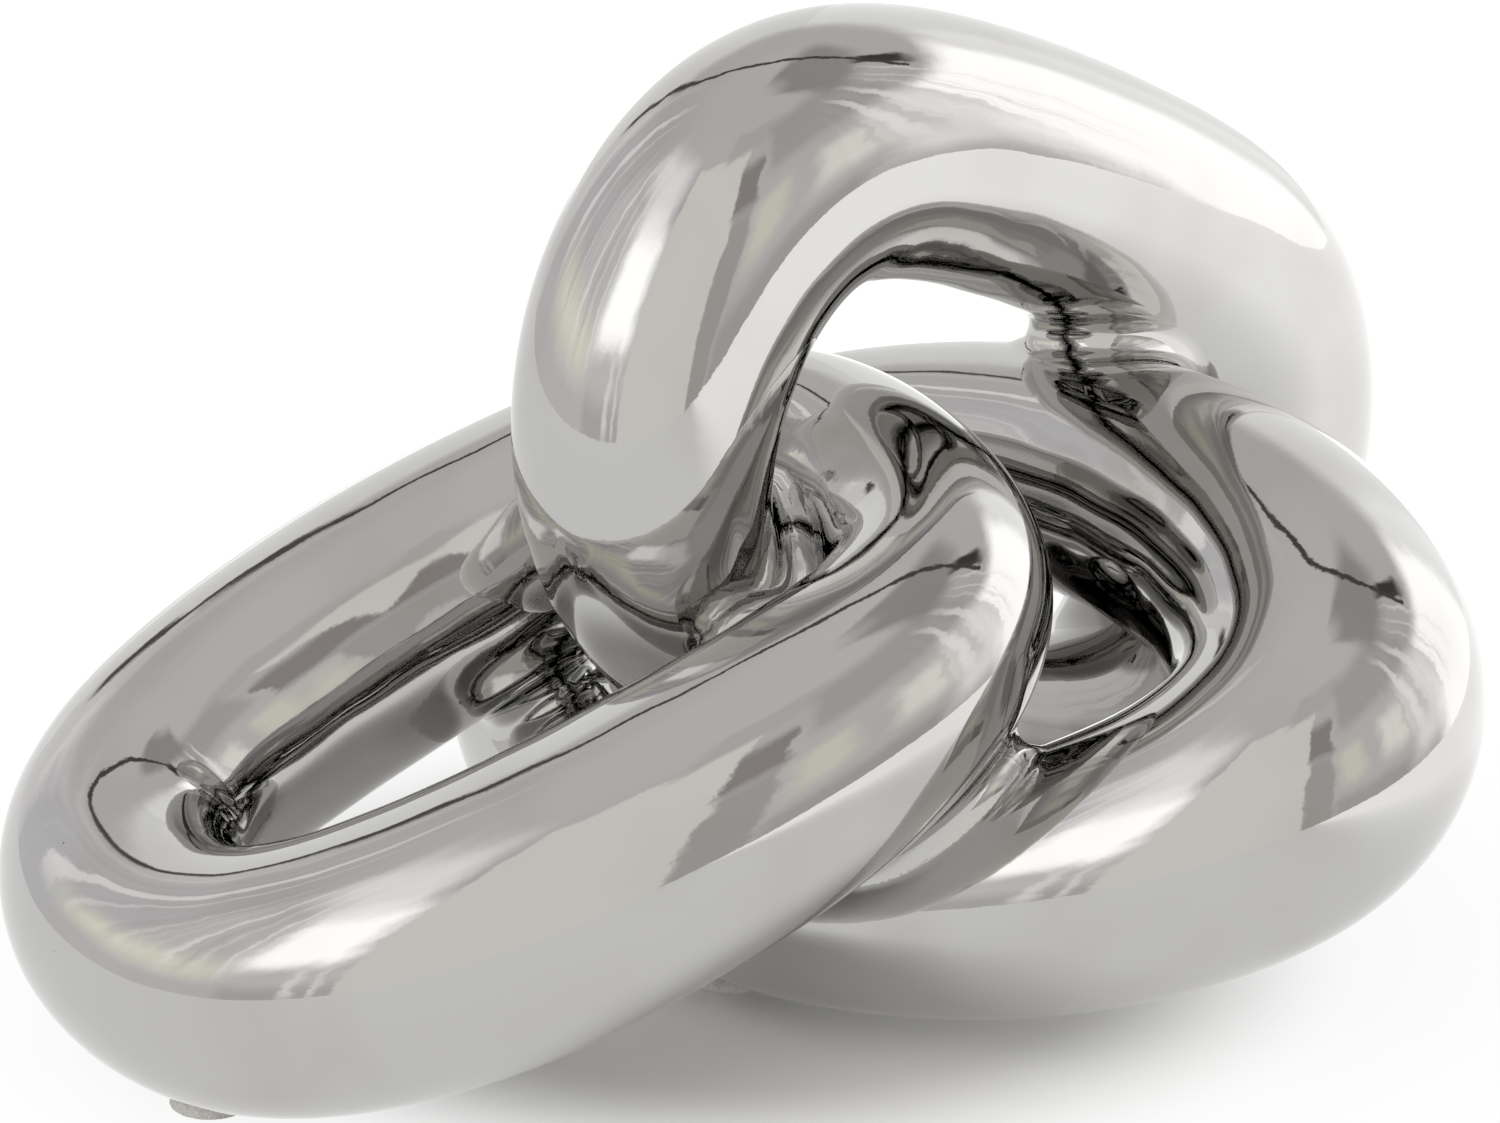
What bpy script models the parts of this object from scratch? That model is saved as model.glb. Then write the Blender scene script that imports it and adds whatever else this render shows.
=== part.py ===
"""Ceramic chain sculpture: three fat oval links, slip cast hollow, luted together with slip.

Lengths are metres, angles are degrees and +Z is up. The front of the sculpture faces -Y.
The left and right links lie tilted on the table, side by side, and the top link stands up
through both of them. Each link has its own shape, place and turn. The links are then
settled: each moves as little as it can until it stands on its own felt pad and touches its
neighbours, so that the slip joints between them and the pads under them follow every size.
"""

import math
from dataclasses import dataclass

import bmesh
import bpy
import numpy as np
from mathutils import Euler, Matrix, Vector

# Casting, shared by the three links
TUBE_RADIUS = 0.0240            # mean outside radius of the tube
WALL = 0.0045                   # thickness of the cast wall
VENT_RADIUS = 0.0030            # kiln vent through the underside of each cast piece

# Left link: it leans on the right link and comes down on its own front left corner
LEFT_OPENING_HALF_LENGTH = 0.0608
LEFT_SIDE_ROOM = 0.0057         # room in the opening, beyond a tube that passes through it
LEFT_END_FULLNESS = 0.042       # squares the ends of the oval
LEFT_SIDE_FULLNESS = 0.036      # squares its long sides
LEFT_TAPER = 0.051              # widens the oval towards its +X end
LEFT_BEND = 0.0014              # bends the oval, as a kidney
LEFT_BLUNTING = -0.0014         # draws the +X end in and the other out
LEFT_END_SWELL = -0.0026        # thicker tube at both ends
LEFT_RIGHT_SWELL = -0.0017      # thicker tube at the +X end
LEFT_BACK_SWELL = -0.0006       # thicker tube at the +Y side
LEFT_PLACE = (-0.0394, -0.0353, 0.0592)
LEFT_TURN = (6.5, -23.4, 24.2)
LEFT_VENT_ANGLE = 150.0         # place of the vent round the oval, from its +X end

# Top link: it stands on its long side, across the other two
TOP_OPENING_HALF_LENGTH = 0.0634
TOP_SIDE_ROOM = 0.0094
TOP_END_FULLNESS = 0.018
TOP_SIDE_FULLNESS = 0.074
TOP_TAPER = 0.010
TOP_BOW = -0.0026               # raises both ends out of the plane of the oval
TOP_BLUNTING = 0.0008
TOP_END_SWELL = 0.0021
TOP_BACK_SWELL = 0.0038
TOP_PLACE = (0.0407, 0.0325, 0.0892)
TOP_TURN = (87.2, 25.0, 44.1)
TOP_VENT_ANGLE = 285.0
TOP_SEAM_HEIGHT = -0.0120       # seam between its two halves, up from the middle of the oval
SEAM_GAP = 0.0003

# Right link: it lies on the table with its back raised
RIGHT_OPENING_HALF_LENGTH = 0.0631
RIGHT_SIDE_ROOM = 0.0066
RIGHT_END_FULLNESS = -0.015
RIGHT_SIDE_FULLNESS = -0.009
RIGHT_TAPER = -0.022
RIGHT_BOW = -0.0010
RIGHT_BEND = 0.0012
RIGHT_END_SWELL = 0.0016
RIGHT_RIGHT_SWELL = 0.0038
RIGHT_BACK_SWELL = 0.0018
RIGHT_PLACE = (0.0341, 0.0101, 0.0509)
RIGHT_TURN = (31.3, -3.4, -38.6)
RIGHT_VENT_ANGLE = 225.0

# Where the links touch: degrees round the first link named, then round the second
LEFT_TOP_TOUCH = (6, 242)
LEFT_RIGHT_FRONT_TOUCH = (298, 298)
LEFT_RIGHT_BACK_TOUCH = (79, 214)
TOP_RIGHT_UPPER_TOUCH = (68, 90)
TOP_RIGHT_LOWER_TOUCH = (248, 264)

# Slip joints
CONTACT_GAP = 0.0003            # between two links where they touch
SLIP_CLEARANCE = 0.00035        # between a slip joint and the links that it joins
SLIP_EDGE = 0.0003              # thickness of a slip joint where it runs out on a link
SLIP_ROLL = 0.0045              # radius of the hollow that a wet finger leaves in the slip
SLIP_PACE = 0.25                # step of the finger round the joint, as a share of its radius
SLIP_PATH_MOST = 600            # most steps round a joint
SLIP_ROLL_SHARES = (1.0, 0.85, 0.7, 0.55, 0.4)  # smaller fingers, tried where there's no room
SLIP_TIP_ANGLE = 24.0           # between the two tubes where the slip ends inside the crevice
SLIP_LEAST = 0.0015             # least depth of slip behind its hollow
SLIP_DEPTH = 0.0120             # most depth of slip behind its hollow
CALM_REACH = 3                  # sections to each side that even out the depth of slip

# Felt pads
PAD_THICKNESS = 0.0018          # under the lowest point of each link
PAD_RADIUS = 0.0075
PAD_CLEARANCE = 0.0003

# Fineness of the meshes
OUTER_STEPS = 56                # sections round each oval
OUTER_SIDES = 20                # sides round each tube
CAVITY_STEPS = 32
CAVITY_SIDES = 8
SLIP_STEP = 0.0050              # distance between the sections of a slip joint
SLIP_ARC_STEPS = 3              # steps across the hollow of a slip joint
SLIP_FLANK_STEPS = 3            # steps down each side of a slip joint
ROUND_SIDES = 32                # sides of pads and vents
MEASURE_STEPS = 360             # points round each oval for measuring between links
EDGE_TRIES = 51                 # places tried for the edge of a slip hollow
REST_ROUNDS = 8                 # rounds of bringing the finger to rest on both tubes
SHARP_ANGLE = 40.0

# Settling
SETTLE_ROUNDS = 150
TIP_LENGTH = 0.060              # at this distance a link tips as easily as it slides

SILVER = (0.77, 0.76, 0.745, 1.0)
GLAZE_ROUGHNESS = 0.04
SLIP_ROUGHNESS = 0.06           # glaze runs a little rougher over the slip
FELT = (0.78, 0.77, 0.75, 1.0)
FELT_ROUGHNESS = 0.95


@dataclass
class Link:
    """One oval link: the shape of its centreline, the swell of its tube, its place and turn."""

    opening_half_length: float
    side_room: float
    end_fullness: float
    side_fullness: float
    taper: float
    end_swell: float
    back_swell: float
    place: tuple
    turn: tuple
    vent_angle: float
    right_swell: float = 0.0
    bow: float = 0.0
    bend: float = 0.0
    blunting: float = 0.0

    def __post_init__(self):
        self.place = np.array(self.place)
        self.axes = np.array(Euler([math.radians(angle) for angle in self.turn]).to_matrix())
        self.half_length = self.opening_half_length + TUBE_RADIUS
        self.half_width = 2 * TUBE_RADIUS + self.side_room
        self.measure()

    def oval(self, angles):
        """Points of the centreline in the link's own frame, at angles in radians."""
        cos, sin, cos2 = np.cos(angles), np.sin(angles), np.cos(2 * angles)
        along = self.half_length * (cos - self.end_fullness * np.cos(3 * angles))
        across = self.half_width * (sin + self.side_fullness * np.sin(3 * angles))
        across = across * (1 + self.taper * cos)
        return np.stack([along + self.blunting * cos2, across + self.bend * cos2,
                         self.bow * cos2], axis=-1)

    def radius(self, angles):
        """Outside radius of the tube at the angles."""
        swell = self.end_swell * np.cos(2 * angles) + self.right_swell * np.cos(angles)
        return TUBE_RADIUS + swell + self.back_swell * np.sin(angles)

    def measure(self):
        """Take dense points of the centreline where the link now lies."""
        angles = np.linspace(0, 2 * math.pi, MEASURE_STEPS, endpoint=False)
        self.points = self.oval(angles) @ self.axes.T + self.place
        self.radii = self.radius(angles)
        ahead = np.roll(self.points, -1, axis=0) - np.roll(self.points, 1, axis=0)
        self.tangents = ahead / np.linalg.norm(ahead, axis=1)[:, None]

    def push(self, point, direction, share):
        """Slide and tip the link, as a push at a point of it would."""
        tip = np.cross(point - self.place, direction) / TIP_LENGTH ** 2
        angle = share * np.linalg.norm(tip)
        self.place = self.place + share * direction
        self.axes = np.array(Matrix.Rotation(angle, 3, Vector(tip))) @ self.axes
        self.measure()

    def give(self, point, direction):
        """How far the point moves for a unit share of a push at it."""
        tip = np.cross(point - self.place, direction) / TIP_LENGTH
        return 1 + tip @ tip

    def off_tube(self, point):
        """Distance from the tube's surface to a point, and the direction out to that point."""
        nearest = np.argmin(((self.points - point) ** 2).sum(axis=1))
        tangent = self.tangents[nearest]
        foot = self.points[nearest] + tangent * ((point - self.points[nearest]) @ tangent)
        length = np.linalg.norm(point - foot)
        return length - self.radii[nearest], (point - foot) / length

    def lowest(self):
        """The lowest point of the tube."""
        index = np.argmin(self.points[:, 2] - self.radii)
        return self.points[index] - np.array([0.0, 0.0, self.radii[index]])

    def matrix(self):
        return Matrix.Translation(self.place) @ Matrix(self.axes.tolist()).to_4x4()


def touch(first, second, near=None):
    """Closest approach of two links: the gap, the direction across it and a point in it.

    With near, a pair of angles in degrees, only the parts of the two ovals within
    an eighth of a turn of those angles count.
    """
    span = np.linalg.norm(first.points[:, None] - second.points[None], axis=2)
    gaps = span - first.radii[:, None] - second.radii[None]
    if near:
        degrees = np.arange(MEASURE_STEPS) * 360 / MEASURE_STEPS
        far = [np.abs((degrees - angle + 180) % 360 - 180) > 45 for angle in near]
        gaps = np.where(far[0][:, None] | far[1][None], np.inf, gaps)
    row, column = np.unravel_index(np.argmin(gaps), gaps.shape)
    direction = (second.points[column] - first.points[row]) / span[row, column]
    gap = gaps[row, column]
    return gap, direction, first.points[row] + direction * (first.radii[row] + gap / 2)


def settle(links, contacts):
    """Stand each link on its pad and close each contact to its gap, by the smallest moves."""
    up = np.array([0.0, 0.0, 1.0])
    pairs = [(first, second, None) for first, second, _ in contacts]
    for _ in range(SETTLE_ROUNDS):
        for link in links:
            low = link.lowest()
            link.push(low, up, (PAD_THICKNESS - low[2]) / link.give(low, up))
        for first, second, near in contacts + pairs:
            gap, direction, point = touch(first, second, near)
            if near is None and gap > CONTACT_GAP:
                continue
            total = first.give(point, direction) + second.give(point, direction)
            first.push(point, direction, (gap - CONTACT_GAP) / total)
            second.push(point, direction, (CONTACT_GAP - gap) / total)


def centre(links):
    """Move the links together so that the middle of the sculpture is over the origin."""
    lows = [(link.points - link.radii[:, None]).min(axis=0) for link in links]
    highs = [(link.points + link.radii[:, None]).max(axis=0) for link in links]
    middle = (np.min(lows, axis=0) + np.max(highs, axis=0)) / 2
    for link in links:
        link.place = link.place - np.array([middle[0], middle[1], 0.0])
        link.measure()


def ball_centre(first, second, point, roll):
    """Shift a point to where a ball of the roll radius rests on both tubes."""
    for _ in range(REST_ROUNDS):
        gap_a, out_a = first.off_tube(point)
        gap_b, out_b = second.off_tube(point)
        lean = out_a @ out_b
        short_a, short_b = roll - gap_a, roll - gap_b
        part_a = (short_a - lean * short_b) / (1 - lean * lean)
        part_b = (short_b - lean * short_a) / (1 - lean * lean)
        point = point + part_a * out_a + part_b * out_b
    return point, out_a, out_b


def roll_round(first, second, near, roll):
    """Centres of a ball that is rolled once round the crevice between two touching tubes.

    They are None where the ball has no room to come round.
    """
    _, direction, contact = touch(first, second, near)
    side = np.cross(direction, [0.0, 0.0, 1.0])
    side = side / np.linalg.norm(side)
    start, out_a, out_b = ball_centre(first, second, contact + side * 2 * roll, roll)
    path = [start]
    pace = roll * SLIP_PACE
    for _ in range(SLIP_PATH_MOST):
        heading = np.cross(out_a, out_b)
        heading = heading / np.linalg.norm(heading)
        point, out_a, out_b = ball_centre(first, second, path[-1] + heading * pace, roll)
        path.append(point)
        if len(path) > 2 / SLIP_PACE and np.linalg.norm(point - start) < pace:
            return np.array(path)
    return None


def widest_roll(first, second, near):
    """The radius of the widest ball that comes round a crevice, and its path."""
    spare = (touch(first, second, near)[0] - CONTACT_GAP) / 2
    for share in SLIP_ROLL_SHARES:
        roll = SLIP_ROLL * share + spare
        path = roll_round(first, second, near, roll)
        if path is not None:
            return roll, path
    raise ValueError("no ball comes round the crevice")


def walk_in(first, second, centre_point, roll):
    """Points from the middle of the slip's hollow in towards the throat of the crevice."""
    _, way_a = first.off_tube(centre_point)
    _, way_b = second.off_tube(centre_point)
    inward = -(way_a + way_b) / np.linalg.norm(way_a + way_b)
    walk = [centre_point + inward * roll]
    pace = SLIP_EDGE / 2
    for deep in np.arange(0, SLIP_DEPTH, pace):
        gap_a, way_a = first.off_tube(walk[-1])
        gap_b, way_b = second.off_tube(walk[-1])
        opposite = way_a @ way_b < -math.cos(math.radians(SLIP_TIP_ANGLE))
        if deep > SLIP_LEAST and (opposite or min(gap_a, gap_b) < SLIP_CLEARANCE + pace):
            break
        inward = -(way_a + way_b) / np.linalg.norm(way_a + way_b)
        evener = (gap_b - gap_a) / 4 * (way_a - way_b)
        walk.append(walk[-1] + inward * pace + evener)
    return walk


def slip_section(first, second, centre_point, roll, tip):
    """One section of a slip joint: the hollow left by the ball, then down both tubes to a tip."""
    _, out_a = first.off_tube(centre_point)
    _, out_b = second.off_tube(centre_point)
    lean = math.acos(out_a @ out_b)

    def on_ball(share):
        toward = math.sin((1 - share) * lean) * out_a + math.sin(share * lean) * out_b
        return centre_point - toward * roll / math.sin(lean)

    def edge_share(link, shares):
        high = [share for share in shares
                if link.off_tube(on_ball(share))[0] >= SLIP_CLEARANCE + SLIP_EDGE]
        return high[0] if high else shares[-1]

    def flank(link, top):
        sides = []
        for share in np.arange(SLIP_FLANK_STEPS) / SLIP_FLANK_STEPS:
            point = top + (tip - top) * share
            gap, way = link.off_tube(point)
            sides.append(point - (gap - SLIP_CLEARANCE) * way)
        return sides

    shares = np.linspace(0, 0.5, EDGE_TRIES)
    start = edge_share(first, shares)
    end = edge_share(second, 1 - shares)
    hollow = [on_ball(share) for share in np.linspace(start, end, SLIP_ARC_STEPS + 1)]
    return hollow + flank(second, hollow[-1]) + [tip] + flank(first, hollow[0])[::-1]


def calmed(counts):
    """The counts round a ring with their jumps smoothed, none of them raised."""
    shifts = range(-CALM_REACH, CALM_REACH + 1)
    least = np.min([np.roll(counts, shift) for shift in shifts], axis=0)
    return np.mean([np.roll(least, shift) for shift in shifts], axis=0).astype(int)


def even_ring(path, step):
    """Points at even distances round a closed path, about one step apart."""
    closed = np.vstack([path, path[:1]])
    lengths = np.linalg.norm(np.diff(closed, axis=0), axis=1)
    along = np.concatenate([[0.0], np.cumsum(lengths)])
    count = max(12, round(along[-1] / step))
    stops = np.arange(count) * along[-1] / count
    return np.stack([np.interp(stops, along, closed[:, axis]) for axis in range(3)], axis=1)


def collection(name):
    made = bpy.data.collections.new(name)
    bpy.context.scene.collection.children.link(made)
    return made


def move_to(thing, target):
    """Leave an object in one collection only."""
    for old in list(thing.users_collection):
        old.objects.unlink(thing)
    target.objects.link(thing)


def finish(thing, color, metallic, roughness):
    """Smooth shading, and a material of the piece's own."""
    thing.data.shade_smooth()
    thing.data.set_sharp_from_angle(angle=math.radians(SHARP_ANGLE))
    surface = bpy.data.materials.new(thing.name + "_surface")
    surface.use_nodes = True
    shader = surface.node_tree.nodes["Principled BSDF"]
    shader.inputs["Base Color"].default_value = color
    shader.inputs["Metallic"].default_value = metallic
    shader.inputs["Roughness"].default_value = roughness
    thing.data.materials.append(surface)


def cut(thing, cutter):
    change = thing.modifiers.new(cutter.name, "BOOLEAN")
    change.operation = "DIFFERENCE"
    change.solver = "EXACT"
    change.object = cutter


def hide(cutter, cutters):
    move_to(cutter, cutters)
    cutter.hide_render = True
    cutter.display_type = "WIRE"
    return cutter


def ring_tube(name, link, grow, steps, sides, target):
    """A closed tube along a link's oval, grown on all sides by a length."""
    angles = np.linspace(0, 2 * math.pi, steps, endpoint=False)
    curve = bpy.data.curves.new(name, "CURVE")
    curve.dimensions = "3D"
    curve.bevel_depth = TUBE_RADIUS
    curve.bevel_resolution = (sides - 4) // 2
    spline = curve.splines.new("POLY")
    spline.points.add(steps - 1)
    spline.use_cyclic_u = True
    for point, place, radius in zip(spline.points, link.oval(angles), link.radius(angles)):
        point.co = (*place, 1.0)
        point.radius = (radius + grow) / TUBE_RADIUS
    guide = bpy.data.objects.new(name + "_guide", curve)
    guide.matrix_world = link.matrix()
    target.objects.link(guide)
    bpy.context.view_layer.update()
    evaluated = guide.evaluated_get(bpy.context.evaluated_depsgraph_get())
    mesh = bpy.data.meshes.new_from_object(evaluated)
    mesh.name = name
    mesh.materials.clear()
    tube = bpy.data.objects.new(name, mesh)
    tube.matrix_world = guide.matrix_world
    target.objects.link(tube)
    bpy.data.objects.remove(guide)
    bpy.data.curves.remove(curve)
    return tube


def hollow_out(thing, link, cutters):
    """Cut the cavity of the casting out of a piece of a link."""
    cavity = ring_tube(thing.name + "_cavity", link, -WALL, CAVITY_STEPS, CAVITY_SIDES, cutters)
    cut(thing, hide(cavity, cutters))


def vent(thing, link, cutters):
    """Drill the vent, straight up from below into the cavity."""
    angle = np.array([math.radians(link.vent_angle)])
    top = link.oval(angle)[0] @ link.axes.T + link.place
    length = 2 * link.radius(angle)[0]
    bpy.ops.mesh.primitive_cylinder_add(
        vertices=ROUND_SIDES, radius=VENT_RADIUS, depth=length,
        location=top - np.array([0.0, 0.0, length / 2]))
    drill = bpy.context.object
    drill.name = thing.name + "_vent"
    cut(thing, hide(drill, cutters))


def whole_link(name, link, parts, cutters):
    """A link that is cast in one piece."""
    tube = ring_tube(name, link, 0.0, OUTER_STEPS, OUTER_SIDES, parts)
    hollow_out(tube, link, cutters)
    vent(tube, link, cutters)
    finish(tube, SILVER, 1.0, GLAZE_ROUGHNESS)


def half_link(name, link, side, parts, cutters):
    """The half of a link on one side (1 up, -1 down) of its seams."""
    tube = ring_tube(name, link, 0.0, OUTER_STEPS, OUTER_SIDES, parts)
    hollow_out(tube, link, cutters)
    reach = 2 * (link.half_length + TUBE_RADIUS)
    bpy.ops.mesh.primitive_cube_add(size=2 * reach)
    block = bpy.context.object
    block.name = name + "_seam"
    seam = TOP_SEAM_HEIGHT + side * (SEAM_GAP / 2 - reach)
    block.matrix_world = link.matrix() @ Matrix.Translation((0, seam, 0))
    cut(tube, hide(block, cutters))
    if side < 0:
        vent(tube, link, cutters)
    finish(tube, SILVER, 1.0, GLAZE_ROUGHNESS)


def slip_joint(name, first, second, near, parts):
    """The slip round one place, or one row of places, where two links touch."""
    roll, path = widest_roll(first, second, near)
    path = even_ring(path, SLIP_STEP)
    path = [ball_centre(first, second, point, roll)[0] for point in path]
    walks = [walk_in(first, second, point, roll) for point in path]
    depths = calmed([len(walk) - 1 for walk in walks])
    shape = bmesh.new()
    rings = []
    for point, walk, depth in zip(path, walks, depths):
        section = slip_section(first, second, point, roll, walk[depth])
        rings.append([shape.verts.new(place) for place in section])
    for ring, after in zip(rings, rings[1:] + rings[:1]):
        for index, vert in enumerate(ring):
            before = index - 1
            shape.faces.new((ring[before], vert, after[index], after[before]))
    if shape.calc_volume(signed=True) < 0:
        bmesh.ops.reverse_faces(shape, faces=shape.faces)
    mesh = bpy.data.meshes.new(name)
    shape.to_mesh(mesh)
    shape.free()
    joint = bpy.data.objects.new(name, mesh)
    parts.objects.link(joint)
    finish(joint, SILVER, 1.0, SLIP_ROUGHNESS)


def felt_pad(name, link, parts, cutters):
    """A felt disc under the lowest point of a link, pressed to the round of its tube."""
    low = link.lowest()
    rise = TUBE_RADIUS - math.sqrt(TUBE_RADIUS ** 2 - PAD_RADIUS ** 2)
    height = PAD_THICKNESS + rise
    bpy.ops.mesh.primitive_cylinder_add(
        vertices=ROUND_SIDES, radius=PAD_RADIUS, depth=height,
        location=(low[0], low[1], height / 2))
    pad = bpy.context.object
    pad.name = name
    move_to(pad, parts)
    press = ring_tube(name + "_press", link, PAD_CLEARANCE, OUTER_STEPS, OUTER_SIDES, cutters)
    cut(pad, hide(press, cutters))
    finish(pad, FELT, 0.0, FELT_ROUGHNESS)


def main():
    for thing in list(bpy.data.objects):
        bpy.data.objects.remove(thing)
    parts = collection("ceramic_chain_sculpture")
    cutters = collection("cutters")

    left = Link(LEFT_OPENING_HALF_LENGTH, LEFT_SIDE_ROOM, LEFT_END_FULLNESS, LEFT_SIDE_FULLNESS,
                LEFT_TAPER, LEFT_END_SWELL, LEFT_BACK_SWELL, LEFT_PLACE, LEFT_TURN,
                LEFT_VENT_ANGLE, right_swell=LEFT_RIGHT_SWELL, bend=LEFT_BEND,
                blunting=LEFT_BLUNTING)
    top = Link(TOP_OPENING_HALF_LENGTH, TOP_SIDE_ROOM, TOP_END_FULLNESS, TOP_SIDE_FULLNESS,
               TOP_TAPER, TOP_END_SWELL, TOP_BACK_SWELL, TOP_PLACE, TOP_TURN, TOP_VENT_ANGLE,
               bow=TOP_BOW, blunting=TOP_BLUNTING)
    right = Link(RIGHT_OPENING_HALF_LENGTH, RIGHT_SIDE_ROOM, RIGHT_END_FULLNESS,
                 RIGHT_SIDE_FULLNESS, RIGHT_TAPER, RIGHT_END_SWELL, RIGHT_BACK_SWELL,
                 RIGHT_PLACE, RIGHT_TURN, RIGHT_VENT_ANGLE, right_swell=RIGHT_RIGHT_SWELL,
                 bow=RIGHT_BOW, bend=RIGHT_BEND)
    settle([left, top, right], [(left, top, LEFT_TOP_TOUCH), (left, right, LEFT_RIGHT_FRONT_TOUCH),
                                (top, right, TOP_RIGHT_UPPER_TOUCH)])
    centre([left, top, right])

    whole_link("link_left", left, parts, cutters)
    whole_link("link_right", right, parts, cutters)
    half_link("link_top_upper_half", top, 1, parts, cutters)
    half_link("link_top_lower_half", top, -1, parts, cutters)
    slip_joint("slip_left_top", left, top, LEFT_TOP_TOUCH, parts)
    slip_joint("slip_left_right_front", left, right, LEFT_RIGHT_FRONT_TOUCH, parts)
    slip_joint("slip_left_right_back", left, right, LEFT_RIGHT_BACK_TOUCH, parts)
    slip_joint("slip_top_right_upper", top, right, TOP_RIGHT_UPPER_TOUCH, parts)
    slip_joint("slip_top_right_lower", top, right, TOP_RIGHT_LOWER_TOUCH, parts)
    felt_pad("felt_pad_left", left, parts, cutters)
    felt_pad("felt_pad_top", top, parts, cutters)
    felt_pad("felt_pad_right", right, parts, cutters)


if __name__ == "__main__":
    main()
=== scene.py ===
"""Looks of the ceramic chain sculpture: three fat oval links in a mirror silver glaze.

Lengths are metres, angles are written in degrees and +Z is up. Each link is a tube along an
oval, with the slight waves of a hand finished casting. Slip joints are rolled into the crevices
between the links, as a wet finger leaves them, and each link stands on a felt pad.
"""

import math

import bmesh
import bpy
import numpy as np
from bpy.props import FloatProperty, FloatVectorProperty, IntProperty, PointerProperty
from mathutils import Euler, Matrix, Vector, noise
from mathutils.bvhtree import BVHTree


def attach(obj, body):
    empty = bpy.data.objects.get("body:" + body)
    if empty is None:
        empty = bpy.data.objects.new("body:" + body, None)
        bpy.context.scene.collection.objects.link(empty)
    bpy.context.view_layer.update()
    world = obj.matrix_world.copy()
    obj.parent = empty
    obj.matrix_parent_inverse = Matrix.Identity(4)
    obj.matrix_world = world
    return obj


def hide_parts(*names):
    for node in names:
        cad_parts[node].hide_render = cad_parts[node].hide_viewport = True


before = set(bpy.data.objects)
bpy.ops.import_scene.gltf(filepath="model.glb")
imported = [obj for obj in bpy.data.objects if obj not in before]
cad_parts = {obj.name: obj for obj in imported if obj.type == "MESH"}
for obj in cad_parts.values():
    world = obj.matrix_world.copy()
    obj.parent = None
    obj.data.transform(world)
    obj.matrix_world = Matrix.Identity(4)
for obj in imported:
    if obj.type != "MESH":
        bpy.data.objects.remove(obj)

bl_info = {
    "name": "Ceramic Chain Sculpture",
    "version": (1, 0, 0),
    "blender": (4, 5, 0),
    "location": "3D View > Sidebar > Chain",
    "description": "Three glazed ceramic links, their slip joints, felt pads and a studio",
    "category": "Add Mesh",
}

TOUCH_STEPS = 360       # points round each oval for measuring between links
TOUCH_REACH = 45.0      # how far from the stated angles two links may touch
BALL_STEPS = 8          # corrections that settle a ball against two tubes
ROLL_STRIDE = 0.25      # one step of a rolling ball, as a share of its radius
ROLL_START = 8          # steps before the ball can be back where it started
ROLL_LIMIT = 2000       # most steps that the ball may take
TINY = 1e-7             # keeps a weight finite where a point lies on a corner
VENT_SIDES = 48         # sides of the drill for a vent
FLOOR_SIDES = 96
ROOM_SIDES = 64


def length(name, description, default):
    """A length in metres."""
    return FloatProperty(name=name, description=description, default=default,
                         unit="LENGTH", precision=5)


def ratio(name, description, default):
    """A plain number."""
    return FloatProperty(name=name, description=description, default=default, precision=3)


def degrees(name, description, default):
    """An angle, with its default in degrees."""
    return FloatProperty(name=name, description=description, default=math.radians(default),
                         subtype="ANGLE", precision=2)


def place(name, description, default):
    """A point in metres."""
    return FloatVectorProperty(name=name, description=description, default=default,
                               subtype="XYZ", unit="LENGTH", precision=5)


def turn(name, description, default):
    """Turns about X, Y and Z, with their defaults in degrees."""
    return FloatVectorProperty(name=name, description=description, subtype="EULER",
                               default=[math.radians(part) for part in default], precision=2)


def tint(name, description, default):
    """A colour with its alpha."""
    return FloatVectorProperty(name=name, description=description, default=default,
                               subtype="COLOR", size=4, min=0.0, max=1.0)


class LeftLink(bpy.types.PropertyGroup):
    """The link that leans on the right one and comes down on its own front left corner."""

    opening: length("Half opening", "Half the length of the opening", 0.0608)
    side_room: length("Side room", "Room in the opening beside a tube passing through", 0.0057)
    end_fullness: ratio("End fullness", "Squares the ends of the oval", 0.042)
    side_fullness: ratio("Side fullness", "Squares the long sides of the oval", 0.036)
    taper: ratio("Taper", "Widens the oval towards its +X end", 0.051)
    bow: length("Bow", "Raises both ends out of the plane of the oval", 0.0)
    bend: length("Bend", "Bends the oval as a kidney", 0.0014)
    blunting: length("Blunting", "Pushes the +X end out and the other in", -0.0014)
    end_swell: length("End swell", "Thicker tube at both ends", -0.0026)
    right_swell: length("Right swell", "Thicker tube at the +X end", -0.0017)
    back_swell: length("Back swell", "Thicker tube at the +Y side", -0.0006)
    place: place("Place", "Middle of the oval", (-0.03897, -0.03543, 0.05896))
    turn: turn("Turn", "Turn of the oval about X, Y and Z", (6.99, -23.37, 24.22))
    vent_angle: degrees("Vent angle", "Place of the vent round the oval", 150.0)


class TopLink(bpy.types.PropertyGroup):
    """The link that stands on its long side, across the other two."""

    opening: length("Half opening", "Half the length of the opening", 0.0634)
    side_room: length("Side room", "Room in the opening beside a tube passing through", 0.0094)
    end_fullness: ratio("End fullness", "Squares the ends of the oval", 0.018)
    side_fullness: ratio("Side fullness", "Squares the long sides of the oval", 0.074)
    taper: ratio("Taper", "Widens the oval towards its +X end", 0.010)
    bow: length("Bow", "Raises both ends out of the plane of the oval", -0.0026)
    bend: length("Bend", "Bends the oval as a kidney", 0.0)
    blunting: length("Blunting", "Pushes the +X end out and the other in", 0.0008)
    end_swell: length("End swell", "Thicker tube at both ends", 0.0021)
    right_swell: length("Right swell", "Thicker tube at the +X end", 0.0)
    back_swell: length("Back swell", "Thicker tube at the +Y side", 0.0038)
    place: place("Place", "Middle of the oval", (0.04106, 0.03229, 0.08960))
    turn: turn("Turn", "Turn of the oval about X, Y and Z", (87.21, 25.10, 44.04))
    vent_angle: degrees("Vent angle", "Place of the vent round the oval", 285.0)


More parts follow.
